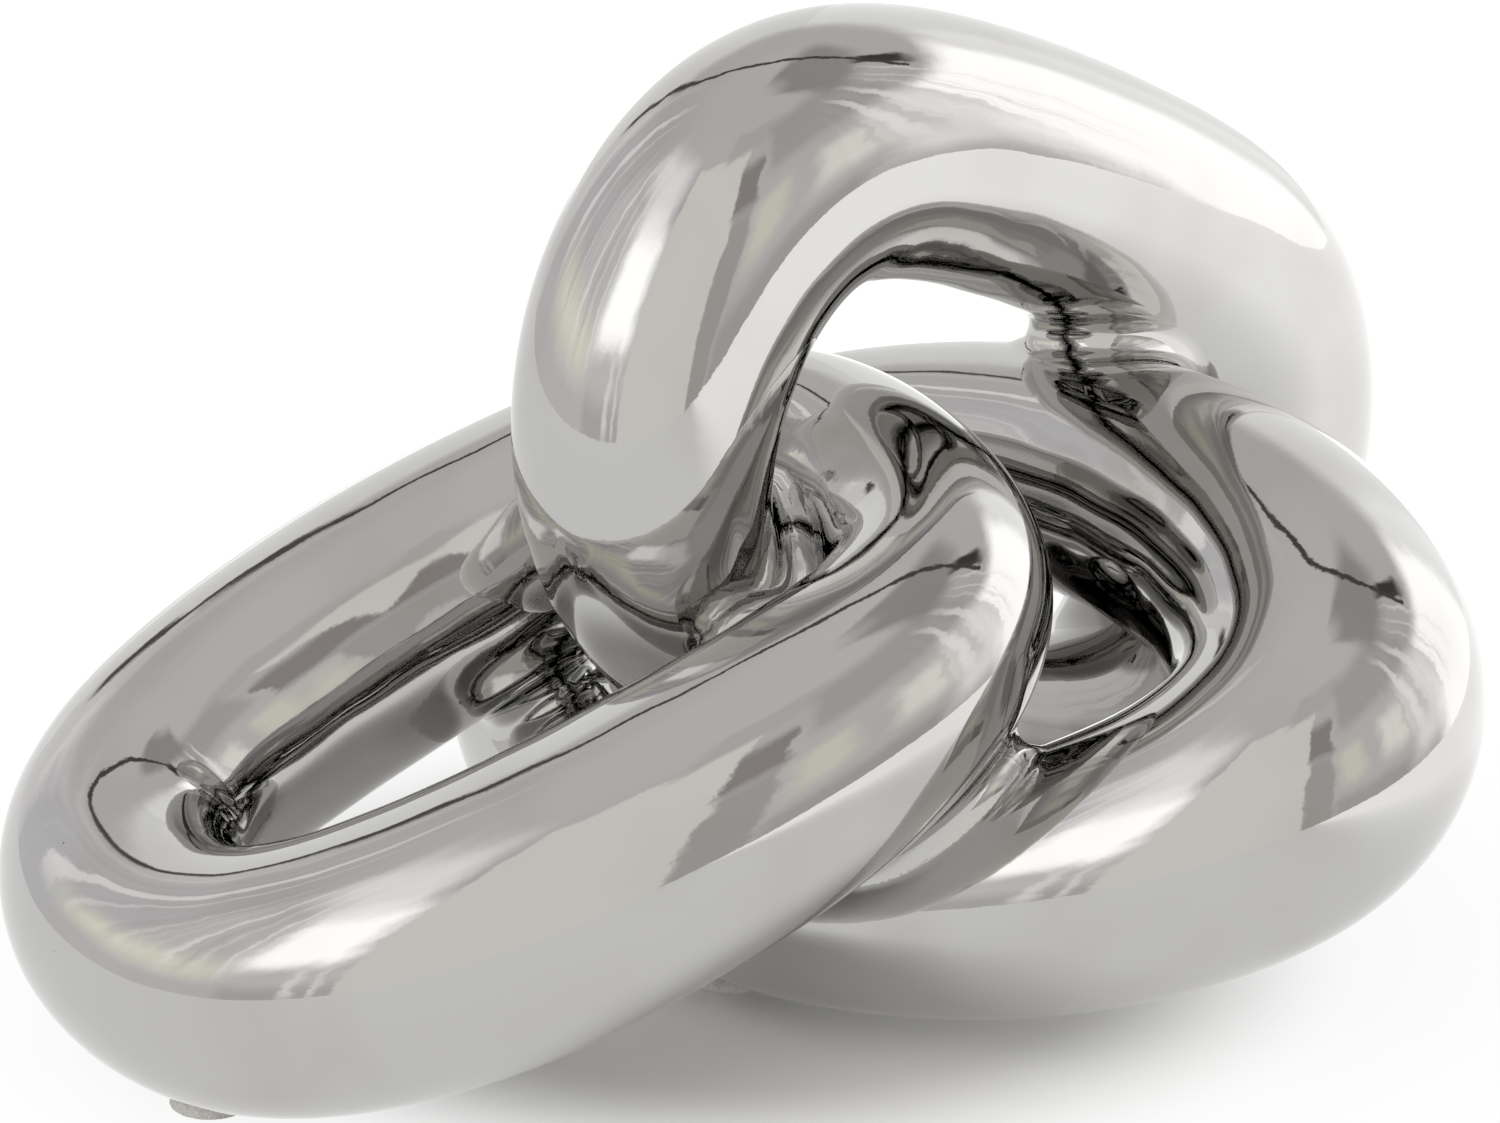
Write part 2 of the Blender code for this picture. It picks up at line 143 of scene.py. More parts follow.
class RightLink(bpy.types.PropertyGroup):
    """The link that lies on the table with its back raised."""

    opening: length("Half opening", "Half the length of the opening", 0.0631)
    side_room: length("Side room", "Room in the opening beside a tube passing through", 0.0066)
    end_fullness: ratio("End fullness", "Squares the ends of the oval", -0.015)
    side_fullness: ratio("Side fullness", "Squares the long sides of the oval", -0.009)
    taper: ratio("Taper", "Widens the oval towards its +X end", -0.022)
    bow: length("Bow", "Raises both ends out of the plane of the oval", -0.0010)
    bend: length("Bend", "Bends the oval as a kidney", 0.0012)
    blunting: length("Blunting", "Pushes the +X end out and the other in", 0.0)
    end_swell: length("End swell", "Thicker tube at both ends", 0.0016)
    right_swell: length("Right swell", "Thicker tube at the +X end", 0.0038)
    back_swell: length("Back swell", "Thicker tube at the +Y side", 0.0018)
    place: place("Place", "Middle of the oval", (0.03446, 0.01008, 0.05109))
    turn: turn("Turn", "Turn of the oval about X, Y and Z", (31.56, -3.90, -38.81))
    vent_angle: degrees("Vent angle", "Place of the vent round the oval", 225.0)


class Casting(bpy.types.PropertyGroup):
    """What the three links share, and how their joints are made."""

    tube_radius: length("Tube radius", "Mean outside radius of the tube", 0.0240)
    glaze_room: length("Glaze room", "How far the glaze keeps inside the nominal tube", 0.0003)
    long_wave: length("Long wave", "Length of the broad waves of the skin", 0.050)
    long_height: length("Long height", "Height of the broad waves of the skin", 0.00030)
    short_wave: length("Short wave", "Length of the short waves of the skin", 0.014)
    short_height: length("Short height", "Height of the short waves of the skin", 0.00004)
    inner_height: length("Inner height", "Height of the tool marks inside each link", 0.00026)
    steps: IntProperty(name="Steps", description="Sections round each oval", default=400)
    sides: IntProperty(name="Sides", description="Sides round each tube", default=112)
    vent_radius: length("Vent radius", "Radius of the vent in each underside", 0.0030)
    vent_depth: length("Vent depth", "How deep the vent goes into a casting", 0.0100)
    roll: length("Slip roll", "Radius of the hollow that a finger leaves in the slip", 0.0045)
    slip_step: length("Slip step", "Distance between the sections of a slip joint", 0.0009)
    slip_arc: IntProperty(name="Slip arc", description="Steps across a slip hollow", default=18)
    slip_rise: length("Slip rise", "How far the edge of a slip joint stands on the links", 0.00003)
    slip_bed: length("Slip bed", "How far a slip joint is bedded into the links", 0.0003)
    slip_back: length("Slip back", "Depth of slip behind its hollow", 0.0015)


class Pads(bpy.types.PropertyGroup):
    """The felt pads. A scale says how many times a pattern comes in a metre."""

    radius: length("Pad radius", "Radius of a felt pad", 0.0074)
    edge: length("Edge round", "Rounding of the cut edge of the felt", 0.0004)
    nap: length("Nap", "Height of the uneven nap of the felt", 0.00012)
    felt: tint("Felt", "Colour of the wool", (0.78, 0.77, 0.75, 1.0))
    fleck: tint("Fleck", "Colour of the darker fibres", (0.60, 0.59, 0.57, 1.0))
    fibre_scale: ratio("Fibre scale", "Scale of the single fibres", 2600.0)
    mat_scale: ratio("Mat scale", "Scale of the matted tufts", 420.0)
    curl_scale: ratio("Curl scale", "Scale of the curl of the fibres", 700.0)
    curl: length("Curl", "How far a fibre curls out of its line", 0.0012)
    pile: length("Pile", "Height of the fibres in the shading", 0.0003)
    roughness: ratio("Roughness", "Roughness of the plain wool", 0.85)
    sheen: ratio("Sheen", "Sheen of the wool", 0.35)


class Glaze(bpy.types.PropertyGroup):
    """The silver glaze. A scale says how many times a pattern comes in a metre."""

    silver: tint("Silver", "Colour of the silver glaze", (0.505, 0.500, 0.488, 1.0))
    thin: tint("Thin", "Colour where the glaze is thinner", (0.470, 0.462, 0.442, 1.0))
    thin_scale: ratio("Thin scale", "Scale of the thinner patches", 28.0)
    speck: tint("Speck", "Colour of the specks in the glaze", (0.10, 0.09, 0.08, 1.0))
    speck_scale: ratio("Speck scale", "Scale of the cells that may hold a speck", 75.0)
    speck_size: ratio("Speck size", "Size of the largest specks in their cells", 0.035)
    speckless: ratio("Speckless", "Share of the cells that hold no speck", 0.72)
    # Painted shade: the glaze is coloured darker in the recess round the foot of the top link
    recess: tint("Recess", "Colour in the recess round the foot of the top link",
                 (0.19, 0.185, 0.175, 1.0))
    recess_shade_place: place("Recess place", "Middle of the recess", (0.074, 0.036, 0.036))
    recess_shade_reach: length("Recess reach", "Where the glaze of the recess starts to clear", 0.026)
    recess_shade_blur: length("Recess blur", "How far the edge of the recess wanders", 0.014)
    roughness: ratio("Roughness", "Roughness of the clean glaze", 0.022)
    cloud: ratio("Cloud", "Added roughness where the glaze is clouded", 0.035)
    cloud_scale: ratio("Cloud scale", "Scale of the clouded patches", 60.0)
    ripple: length("Ripple", "Height of the fine ripple of the fired glaze", 0.000012)
    ripple_scale: ratio("Ripple scale", "Scale of the fine ripple", 260.0)
    grit_scale: ratio("Grit scale", "Scale of the finest grit in the glaze", 900.0)


class Studio(bpy.types.PropertyGroup):
    """The floor, the surroundings, the light and the camera."""

    floor_radius: length("Floor radius", "Radius of the pale floor", 3.2)
    room_radius: length("Room radius", "Radius of the surroundings", 3.0)
    floor: tint("Floor", "Colour of the floor", (0.94, 0.94, 0.935, 1.0))
    light: tint("Light", "Plain light of the world", (0.8, 0.8, 0.8, 1.0))
    beyond: tint("Beyond", "White that shows beyond the floor", (1.0, 1.0, 1.0, 1.0))
    target: place("Target", "Point that the camera looks at", (0.0044, 0.0347, 0.0666))
    distance: length("Distance", "From the camera to its target", 1.29948)
    elevation: degrees("Elevation", "Elevation of the camera", 19.895)
    roll: degrees("Roll", "Roll of the camera", 0.934)
    lens: FloatProperty(name="Lens", description="Focal length of the camera", default=160.29,
                        subtype="DISTANCE_CAMERA")
    shift: FloatVectorProperty(name="Shift", description="Shift of the frame", size=2,
                               default=(-0.01353, -0.00926), precision=5)


class ChainSettings(bpy.types.PropertyGroup):
    """Sizes and colours of the whole sculpture."""

    left: PointerProperty(type=LeftLink)
    top: PointerProperty(type=TopLink)
    right: PointerProperty(type=RightLink)
    casting: PointerProperty(type=Casting)
    pads: PointerProperty(type=Pads)
    glaze: PointerProperty(type=Glaze)
    studio: PointerProperty(type=Studio)


class Shade:
    """A socket of a material, so that shader maths reads as Python expressions."""

    def __init__(self, paint, socket):
        self.paint = paint
        self.socket = socket

    def maths(self, operation, first, second):
        return self.paint.node("ShaderNodeMath", {"operation": operation}, {0: first, 1: second})

    def __add__(self, other):
        return self.maths("ADD", self, other)

    def __radd__(self, other):
        return self.maths("ADD", other, self)

    def __sub__(self, other):
        return self.maths("SUBTRACT", self, other)

    def __rsub__(self, other):
        return self.maths("SUBTRACT", other, self)

    def __mul__(self, other):
        return self.maths("MULTIPLY", self, other)

    def __rmul__(self, other):
        return self.maths("MULTIPLY", other, self)

    def __gt__(self, other):
        return self.maths("GREATER_THAN", self, other)

    def __lt__(self, other):
        return self.maths("LESS_THAN", self, other)


class Paint:
    """A new node tree of a material or world, and one way of adding nodes to it."""

    def __init__(self, owner):
        owner.use_nodes = True
        self.tree = owner.node_tree
        self.tree.nodes.clear()

    def node(self, kind, settings=None, values=None, out=0):
        """Add a node: its settings first, then the values or links of its sockets."""
        made = self.tree.nodes.new(kind)
        for key, value in (settings or {}).items():
            setattr(made, key, value)
        for key, value in (values or {}).items():
            if isinstance(value, Shade):
                self.tree.links.new(value.socket, made.inputs[key])
            else:
                made.inputs[key].default_value = value
        return Shade(self, made.outputs[out]) if made.outputs else made

    def place(self):
        """The place on the piece, in metres."""
        return self.node("ShaderNodeTexCoord", out="Object")

    def rays(self):
        """Three shades: 1 for rays of the camera, off a mirror and through glass."""
        return [self.node("ShaderNodeLightPath", out=name)
                for name in ("Is Camera Ray", "Is Glossy Ray", "Is Transmission Ray")]

    def measure(self, operation, *vectors):
        """A number from vectors: a length, a distance or a dot product."""
        return self.node("ShaderNodeVectorMath", {"operation": operation},
                         dict(enumerate(vectors)), "Value")

    def mix(self, share, first, second):
        """A colour between two, by a share. The sockets of a Mix node's colours are 6, 7 and 2."""
        return self.node("ShaderNodeMix", {"data_type": "RGBA"}, {0: share, 6: first, 7: second}, 2)

    def step(self, value, start, end):
        """A smooth step from 0 at the start to 1 at the end."""
        return self.node("ShaderNodeMapRange", {"interpolation_type": "SMOOTHSTEP"},
                         {0: value, 1: start, 2: end})

    def band(self, value, low, high, soft):
        """1 between two values and 0 outside, with soft ends."""
        rise = self.step(value, low - soft, low + soft)
        return rise * (1.0 - self.step(value, high - soft, high + soft))

    def grain(self, where, scale, detail=2.0):
        """Noise from 0 to 1."""
        return self.node("ShaderNodeTexNoise", None, {
            "Vector": where, "Scale": scale, "Detail": detail})

    def wander(self, where, scale, detail, width):
        """Noise about 0, over a width."""
        return (self.grain(where, scale, detail) - 0.5) * width


class Link:
    """One oval link: the shape of its centreline, the swell of its tube, its place and turn."""

    def __init__(self, shape, casting):
        self.shape = shape
        self.tube_radius = casting.tube_radius - casting.glaze_room
        self.half_length = shape.opening + casting.tube_radius
        self.half_width = 2 * casting.tube_radius + shape.side_room
        self.place = np.array(shape.place)
        self.axes = np.array(Euler(shape.turn).to_matrix())
        angles = np.linspace(0, 2 * math.pi, TOUCH_STEPS, endpoint=False)
        self.points, _, _ = self.course(angles)
        self.radii = self.radius(angles)
        ahead = np.roll(self.points, -1, axis=0) - np.roll(self.points, 1, axis=0)
        self.tangents = ahead / np.linalg.norm(ahead, axis=1)[:, None]

    def oval(self, angles):
        """Points of the centreline in the link's own frame, at angles in radians."""
        shape = self.shape
        cos, sin, cos2 = np.cos(angles), np.sin(angles), np.cos(2 * angles)
        along = self.half_length * (cos - shape.end_fullness * np.cos(3 * angles))
        across = self.half_width * (sin + shape.side_fullness * np.sin(3 * angles))
        across = across * (1 + shape.taper * cos)
        return np.stack([along + shape.blunting * cos2, across + shape.bend * cos2,
                         shape.bow * cos2], axis=-1)

    def radius(self, angles):
        """Outside radius of the tube at the angles."""
        shape = self.shape
        swell = shape.end_swell * np.cos(2 * angles) + shape.right_swell * np.cos(angles)
        return self.tube_radius + swell + shape.back_swell * np.sin(angles)

    def course(self, angles):
        """Points of the centreline, with the ways out and up across the tube at each."""
        points = self.oval(angles)
        ahead = np.roll(points, -1, axis=0) - np.roll(points, 1, axis=0)
        out = np.cross(ahead, [0.0, 0.0, 1.0])
        out = out / np.linalg.norm(out, axis=1)[:, None]
        up = np.cross(out, ahead / np.linalg.norm(ahead, axis=1)[:, None])
        turned = self.axes.T
        return points @ turned + self.place, out @ turned, up @ turned

    def off_tube(self, point):
        """Distance from the tube's surface to a point, and the direction out to that point."""
        nearest = np.argmin(((self.points - point) ** 2).sum(axis=1))
        tangent = self.tangents[nearest]
        foot = self.points[nearest] + tangent * ((point - self.points[nearest]) @ tangent)
        away = np.linalg.norm(point - foot)
        return away - self.radii[nearest], (point - foot) / away

    def lowest(self):
        """The lowest point of the tube."""
        index = np.argmin(self.points[:, 2] - self.radii)
        return self.points[index] - np.array([0.0, 0.0, self.radii[index]])


class Skin:
    """The wavy glazed surface of a link, for laying slip and felt against it."""

    def __init__(self, verts, faces, normals):
        self.faces = faces
        self.verts = verts
        self.normals = normals
        self.tree = BVHTree.FromPolygons(verts.tolist(), faces)

    def near(self, point):
        """The nearest point of the surface, and its smooth normal there."""
        where, _, face, _ = self.tree.find_nearest(Vector(point))
        where = np.array(where)
        corners = list(self.faces[face])
        away = np.linalg.norm(self.verts[corners] - where, axis=1)
        weights = 1 / (away + TINY)
        normal = weights @ self.normals[corners]
        return where, normal / np.linalg.norm(normal)


def wave(point, inner, casting):
    """Height of the skin's waves at a point. Inner is 1 on the inside of the link's oval."""
    long = noise.noise(Vector(point) / casting.long_wave)
    short = noise.noise(Vector(point) / casting.short_wave)
    heights = casting.short_height + casting.inner_height * inner
    return casting.long_height * long + heights * short


def ring_faces(rings, sides):
    """Quads that join rings of points to each other and the last to the first."""
    faces = []
    for ring in range(rings):
        after = (ring + 1) % rings
        for side in range(sides):
            beside = (side + 1) % sides
            faces.append((ring * sides + side, ring * sides + beside,
                          after * sides + beside, after * sides + side))
    return faces


def link_skin(link, casting):
    """Points, faces and normals of a link's wavy surface."""
    steps, sides = casting.steps, casting.sides
    angles = np.linspace(0, 2 * math.pi, steps, endpoint=False)
    middle, out, up = link.course(angles)
    turns = np.linspace(0, 2 * math.pi, sides, endpoint=False)
    ways = (np.cos(turns)[None, :, None] * out[:, None]
            + np.sin(turns)[None, :, None] * up[:, None])
    spots = middle[:, None] + link.radius(angles)[:, None, None] * ways
    inner = ((1 - np.cos(turns)) / 2) ** 2
    rise = np.array([[wave(spot, share, casting) for spot, share in zip(ring, inner)]
                     for ring in spots])
    spots = spots + rise[:, :, None] * ways
    along = np.roll(spots, -1, axis=0) - np.roll(spots, 1, axis=0)
    round_tube = np.roll(spots, -1, axis=1) - np.roll(spots, 1, axis=1)
    normals = np.cross(round_tube, along)
    normals = normals / np.linalg.norm(normals, axis=2)[:, :, None]
    if (normals * ways).sum() < 0:
        normals = -normals
    faces = [tuple(reversed(face)) for face in ring_faces(steps, sides)]
    return Skin(spots.reshape(-1, 3), faces, normals.reshape(-1, 3))


def touch(first, second, near):
    """Where two links come closest, near a pair of angles: the way across, and its middle."""
    span = np.linalg.norm(first.points[:, None] - second.points[None], axis=2)
    gaps = span - first.radii[:, None] - second.radii[None]
    round_oval = np.arange(TOUCH_STEPS) * 360 / TOUCH_STEPS
    far = [np.abs((round_oval - angle + 180) % 360 - 180) > TOUCH_REACH for angle in near]
    gaps = np.where(far[0][:, None] | far[1][None], np.inf, gaps)
    row, column = np.unravel_index(np.argmin(gaps), gaps.shape)
    direction = (second.points[column] - first.points[row]) / span[row, column]
    reach = first.radii[row] + gaps[row, column] / 2
    return direction, first.points[row] + direction * reach


def ball_centre(first, second, point, roll):
    """Shift a point to where a ball of the roll radius rests on both tubes."""
    for _ in range(BALL_STEPS):
        gap_a, out_a = first.off_tube(point)
        gap_b, out_b = second.off_tube(point)
        lean = out_a @ out_b
        short_a, short_b = roll - gap_a, roll - gap_b
        part_a = (short_a - lean * short_b) / (1 - lean * lean)
        part_b = (short_b - lean * short_a) / (1 - lean * lean)
        point = point + part_a * out_a + part_b * out_b
    return point, out_a, out_b


def roll_round(first, second, near, roll):
    """Centres of a ball that is rolled once round the crevice between two touching tubes."""
    direction, contact = touch(first, second, near)
    side = np.cross(direction, [0.0, 0.0, 1.0])
    side = side / np.linalg.norm(side)
    start, out_a, out_b = ball_centre(first, second, contact + side * 2 * roll, roll)
    path = [start]
    stride = roll * ROLL_STRIDE
    for _ in range(ROLL_LIMIT):
        heading = np.cross(out_a, out_b)
        ahead = path[-1] + heading / np.linalg.norm(heading) * stride
        point, out_a, out_b = ball_centre(first, second, ahead, roll)
        path.append(point)
        if len(path) > ROLL_START and np.linalg.norm(point - start) < stride:
            return np.array(path)
    raise ValueError("the ball never comes back to where it started")


def even_ring(path, step):
    """Points at even distances round a closed path, about one step apart."""
    closed = np.vstack([path, path[:1]])
    lengths = np.linalg.norm(np.diff(closed, axis=0), axis=1)
    along = np.concatenate([[0.0], np.cumsum(lengths)])
    count = round(along[-1] / step)
    stops = np.arange(count) * along[-1] / count
    return np.stack([np.interp(stops, along, closed[:, axis]) for axis in range(3)], axis=1)


def slip_ring(centre, out_a, out_b, roll, skins, casting):
    """One section of a slip joint with its normals: the hollow, then its bed in both links."""
    lean = math.acos(out_a @ out_b)
    shares = np.linspace(0, 1, casting.slip_arc + 1)
    ways = (np.sin((1 - shares) * lean)[:, None] * out_a
            + np.sin(shares * lean)[:, None] * out_b) / math.sin(lean)
    spots = centre - roll * ways
    normals = ways.copy()
    for skin, spot, way, weight in ((skins[0], spots[0], out_a, (1 - shares) ** 2),
                                    (skins[1], spots[-1], out_b, shares ** 2)):
        where, normal = skin.near(spot)
        spots = spots + weight[:, None] * (where + casting.slip_rise * normal - spot)
        normals = normals + weight[:, None] * (normal - way)
    inward = -(out_a + out_b) / np.linalg.norm(out_a + out_b)
    bed_a = spots[0] - casting.slip_bed * out_a
    bed_b = spots[-1] - casting.slip_bed * out_b
    back = centre + inward * (roll + casting.slip_back)
    spots = np.vstack([spots, bed_b, back, bed_a])
    normals = np.vstack([normals, -out_b, inward, -out_a])
    return spots, normals / np.linalg.norm(normals, axis=1)[:, None]


def show(name, verts, faces, material, normals=None):
    """A smooth shaded object of a closed surface that faces outwards."""
    shape = bmesh.new()
    made = [shape.verts.new(vert) for vert in verts]
    for face in faces:
        shape.faces.new([made[corner] for corner in face])
    if shape.calc_volume(signed=True) < 0:
        bmesh.ops.reverse_faces(shape, faces=shape.faces)
    mesh = bpy.data.meshes.new(name)
    shape.to_mesh(mesh)
    shape.free()
    mesh.shade_smooth()
    piece = bpy.data.objects.new(name, mesh)
    bpy.context.scene.collection.objects.link(piece)
    mesh.materials.append(material)
    if normals is not None:
        mesh.normals_split_custom_set_from_vertices([tuple(normal) for normal in normals])
    return piece


def named_material(name, make):
    """The material of that name, made the first time."""
    found = bpy.data.materials.get(name)
    return found or make(bpy.data.materials.new(name))


def chain_settings():
    """The sizes and colours that the panel shows."""
    return bpy.context.scene.chain


def links():
    """The three links of the sculpture by name."""
    chain = chain_settings()
    return {"left": Link(chain.left, chain.casting), "top": Link(chain.top, chain.casting),
            "right": Link(chain.right, chain.casting)}


def skins(made):
    """The wavy surfaces of the links by name."""
    return {name: link_skin(link, chain_settings().casting) for name, link in made.items()}


def mirror_glaze(material):
    """Mirror silver glaze: thinner in places, faintly rippled and clouded, with a few specks.

    Round the foot of the top link, inside the right one, it is painted darker: painted shade in
    that recess.
    """
    glaze = chain_settings().glaze
    paint = Paint(material)
    where = paint.place()
    thin = paint.step(paint.grain(where, glaze.thin_scale), 0.42, 0.72)
    grit = paint.grain(where, glaze.grit_scale)
    cells = {"Vector": where, "Scale": glaze.speck_scale}
    from_speck = paint.node("ShaderNodeTexVoronoi", None, cells)
    pick = paint.node("ShaderNodeSeparateColor", None,
                      {0: paint.node("ShaderNodeTexVoronoi", None, cells, "Color")})
    speck = (from_speck < grit * glaze.speck_size) * (pick > glaze.speckless)
    # Painted shade: clear is 0 in the recess round the foot of the top link and 1 away from it
    away = paint.measure("DISTANCE", where, tuple(glaze.recess_shade_place))
    clear = paint.step(away + paint.wander(where, 55.0, 2.0, glaze.recess_shade_blur),
                       glaze.recess_shade_reach, 2 * glaze.recess_shade_reach)
    color = paint.mix(thin, tuple(glaze.silver), tuple(glaze.thin))
    color = paint.mix(clear, tuple(glaze.recess), color)
    color = paint.mix(speck * 0.85, color, tuple(glaze.speck))
    cloud = paint.step(paint.grain(where, glaze.cloud_scale, 4.0), 0.45, 0.75)
    rough = cloud * glaze.cloud + speck * 0.25 + glaze.roughness
    ripple = paint.grain(where, glaze.ripple_scale) + grit * 0.15 - speck * 1.5
    bump = paint.node("ShaderNodeBump", None, {"Strength": 1.0, "Distance": glaze.ripple,
                                               "Height": ripple})
    shader = paint.node("ShaderNodeBsdfPrincipled", None, {
        "Base Color": color, "Metallic": 1.0, "Roughness": rough, "Normal": bump})
    paint.node("ShaderNodeOutputMaterial", None, {0: shader})
    return material


def wool_felt(material):
    """Pressed wool: matted fibres of two greys with a soft nap."""
    pads = chain_settings().pads
    paint = Paint(material)
    where = paint.place()
    curl = paint.node("ShaderNodeTexNoise", None,
                      {"Vector": where, "Scale": pads.curl_scale}, "Color")
    curl = paint.node("ShaderNodeVectorMath", {"operation": "SCALE"}, {0: curl, 3: pads.curl})
    bent = paint.node("ShaderNodeVectorMath", {"operation": "ADD"}, {0: where, 1: curl})
    fibres = paint.grain(bent, pads.fibre_scale, 4.0)
    mats = paint.grain(where, pads.mat_scale, 3.0)
    fleck = paint.step(fibres + mats * 0.5, 0.62, 0.92)
    bump = paint.node("ShaderNodeBump", None, {"Strength": 0.8, "Distance": pads.pile,
                                               "Height": fibres + mats})
    shader = paint.node("ShaderNodeBsdfPrincipled", None, {
        "Base Color": paint.mix(fleck, tuple(pads.felt), tuple(pads.fleck)),
        "Roughness": pads.roughness + fleck * 0.12, "Sheen Weight": pads.sheen,
        "Normal": bump})
    paint.node("ShaderNodeOutputMaterial", None, {0: shader})
    return material


# The white of the floor, and where it takes over from the paper round the sculpture: where its
# two steps start and end, in metres from the middle, and their shares for the camera. Off the
# glaze there is a share everywhere, and one of the near step. The gleam is a painted pool of
# window light on the floor, 1.6 times white, which only the glaze shows on the right hand side.
FLOOR_WHITE = (1.03, 1.03, 1.03, 1.0)
NEAR_STEP = (0.07, 0.12)
FAR_STEP = (0.11, 0.27)
NEAR_SHARE = 0.84
FAR_SHARE = 0.16
GLAZE_SHARE = 0.10
GLAZE_NEAR_SHARE = 0.75
GLEAM_WHITE = (1.6, 1.6, 1.6, 1.0)
GLEAM_SIDE = (0.87, 0.5, 0.0)
GLEAM_REACH = (0.08, 0.30)


def pale_floor(material):
    """White paper floor, which keeps the sculpture's shadow and turns plain white round it."""
    studio = chain_settings().studio
    paint = Paint(material)
    paper = paint.node("ShaderNodeBsdfDiffuse", None, {"Color": tuple(studio.floor)})
    where = paint.place()
    away = paint.measure("LENGTH", where)
    camera_ray, mirror_ray, glass_ray = paint.rays()
    # Painted light: a pool of window light on the floor on the right hand side, seen only off the
    # glaze
    gleam = paint.step(paint.measure("DOT_PRODUCT", where, GLEAM_SIDE), *GLEAM_REACH)
    white = paint.node("ShaderNodeEmission", None, {
        "Color": paint.mix(gleam * mirror_ray, FLOOR_WHITE, GLEAM_WHITE), "Strength": 1.0})
    near = paint.step(away, *NEAR_STEP)
    far = paint.step(away, *FAR_STEP)
    lift = (camera_ray + glass_ray) * (near * NEAR_SHARE + far * FAR_SHARE)
    lift = lift + mirror_ray * (GLAZE_SHARE + near * GLAZE_NEAR_SHARE)
    shader = paint.node("ShaderNodeMixShader", None, {0: lift, 1: paper, 2: white})
    paint.node("ShaderNodeOutputMaterial", None, {0: shader})
    return material


# Patches of the surroundings, each painted over the ones before it: its azimuths from the
# front towards +X, its elevations, how soft its sides and its ends are, how much its sides
# lean, all in degrees but the lean, and its colour
SURROUNDINGS = (
    # Behind the sculpture
    ((-200, -146), (-14, 40), 1, 5, 0.0, (1.06, 1.06, 1.05)),
    ((154, 200), (-14, 40), 6, 6, 0.0, (1.16, 1.16, 1.15)),
    # Left wall, with its window and sill
    ((-146, -132), (-14, 37), 1, 5, 0.0, (0.96, 0.95, 0.96)),
    ((-133, -92), (-14, 42), 4, 6, 0.0, (0.80, 0.79, 0.81)),
    ((-96, -48), (-14, 50), 6, 6, 0.0, (0.89, 0.88, 0.89)),
    ((-110, -56), (-2, 8), 8, 4, 0.0, (0.84, 0.83, 0.83)),
    ((-112, -58), (12, 23), 12, 6, 0.0, (1.16, 1.18, 1.01)),
    ((-84, -34), (52, 64), 10, 5, 0.0, (1.30, 1.28, 1.29)),
    ((-62, -32), (44, 55), 6, 6, 0.0, (1.42, 1.41, 1.42)),
    ((-57, -26), (20, 46), 6, 6, 0.0, (2.00, 2.00, 2.00)),
    ((-56, -22), (-2, 8), 4, 5, 0.0, (0.70, 0.69, 0.69)),
    ((-52, -22), (8, 18), 4, 5, 0.0, (0.92, 0.91, 0.90)),
    # Bright edges left of the camera, and the tall panel behind it
    ((-37, -34), (0, 21), 1.5, 5, 0.0, (1.18, 1.17, 1.16)),
    ((-30, -28), (0, 21), 1, 5, 0.0, (1.12, 1.11, 1.09)),
    ((-24, 22), (-10, 63), 1, 1, 0.0, (1.04, 1.025, 0.98)),
    ((10, 28), (-10, 54), 1, 1, 0.14, (1.04, 1.025, 0.98)),
    ((2, 42), (61, 72), 5, 2, 0.0, (0.72, 0.70, 0.70)),
    # Right wall, with its windows
    ((28, 102), (-10, 50), 1, 4, 0.14, (0.80, 0.78, 0.78)),
    ((38, 100), (44, 68), 4, 5, 0.0, (0.62, 0.60, 0.61)),
    ((28, 39), (-10, 35), 1, 3, 0.14, (0.60, 0.57, 0.56)),
    ((28, 40), (36, 54), 1, 3, 0.14, (0.42, 0.39, 0.38)),
    ((40, 76), (-10, 8), 3, 4, 0.14, (0.62, 0.61, 0.61)),
    ((42, 54), (15, 34), 4, 4, 0.14, (0.98, 0.98, 0.86)),
    ((64, 82), (16, 35), 4, 5, 0.14, (1.20, 1.20, 1.12)),
    ((82, 104), (4, 40), 6, 6, 0.14, (1.30, 1.29, 1.28)),
    ((99, 144), (-14, 40), 6, 4, 0.0, (1.95, 1.95, 1.95)),
    ((140, 156), (-14, 38), 5, 6, 0.0, (1.36, 1.36, 1.36)),
    # Dark part of the ceiling, and two dark strips
    ((86, 166), (59, 82), 8, 5, 0.0, (0.46, 0.44, 0.45)),
    ((-146.5, -143.5), (20, 48), 1.0, 2, 0.0, (0.12, 0.11, 0.11)),
    ((120, 130), (46, 60), 1.5, 3, 0.0, (0.08, 0.07, 0.07)),
)
WALL = (0.74, 0.73, 0.735, 1.0)
CEILING = (0.82, 0.81, 0.815, 1.0)
CEILING_STEP = (50.0, 75.0)             # elevations between the wall and the ceiling
AZIMUTH_WANDER = (11.0, 3.0, 6.0)       # scale, detail and width of the unevenness of edges
ELEVATION_WANDER = (7.0, 3.0, 5.0)

# Curtains: the azimuths and softness of the left and right one, their elevations, how closely
# their folds hang and how much they lean, and the two colours and shares of the folds
LEFT_CURTAIN = (-138.0, -56.0, 6.0)
RIGHT_CURTAIN = (70.0, 118.0, 8.0)
CURTAIN_HEIGHTS = (16.0, 56.0, 8.0)
FOLD_SCALE = 0.16
FOLD_LEAN = 0.12
FOLD_LIGHT = (1.45, 1.43, 1.45, 1.0)
FOLD_SHADE = (0.72, 0.70, 0.72, 1.0)
LIGHT_SHARE = 0.6
SHADE_SHARE = 0.4

# The dark beam under the ceiling: the axis that it runs round, its band along that axis with
# its softness and unevenness, the elevation that it starts at, and its colour
BEAM_AXIS = (0.21, 0.89, 0.41)
BEAM_BAND = (0.701, 0.721, 0.004)
BEAM_WANDER = (9.0, 4.0, 0.03)
BEAM_START = 46.0
BEAM_COLOR = (0.10, 0.09, 0.09, 1.0)


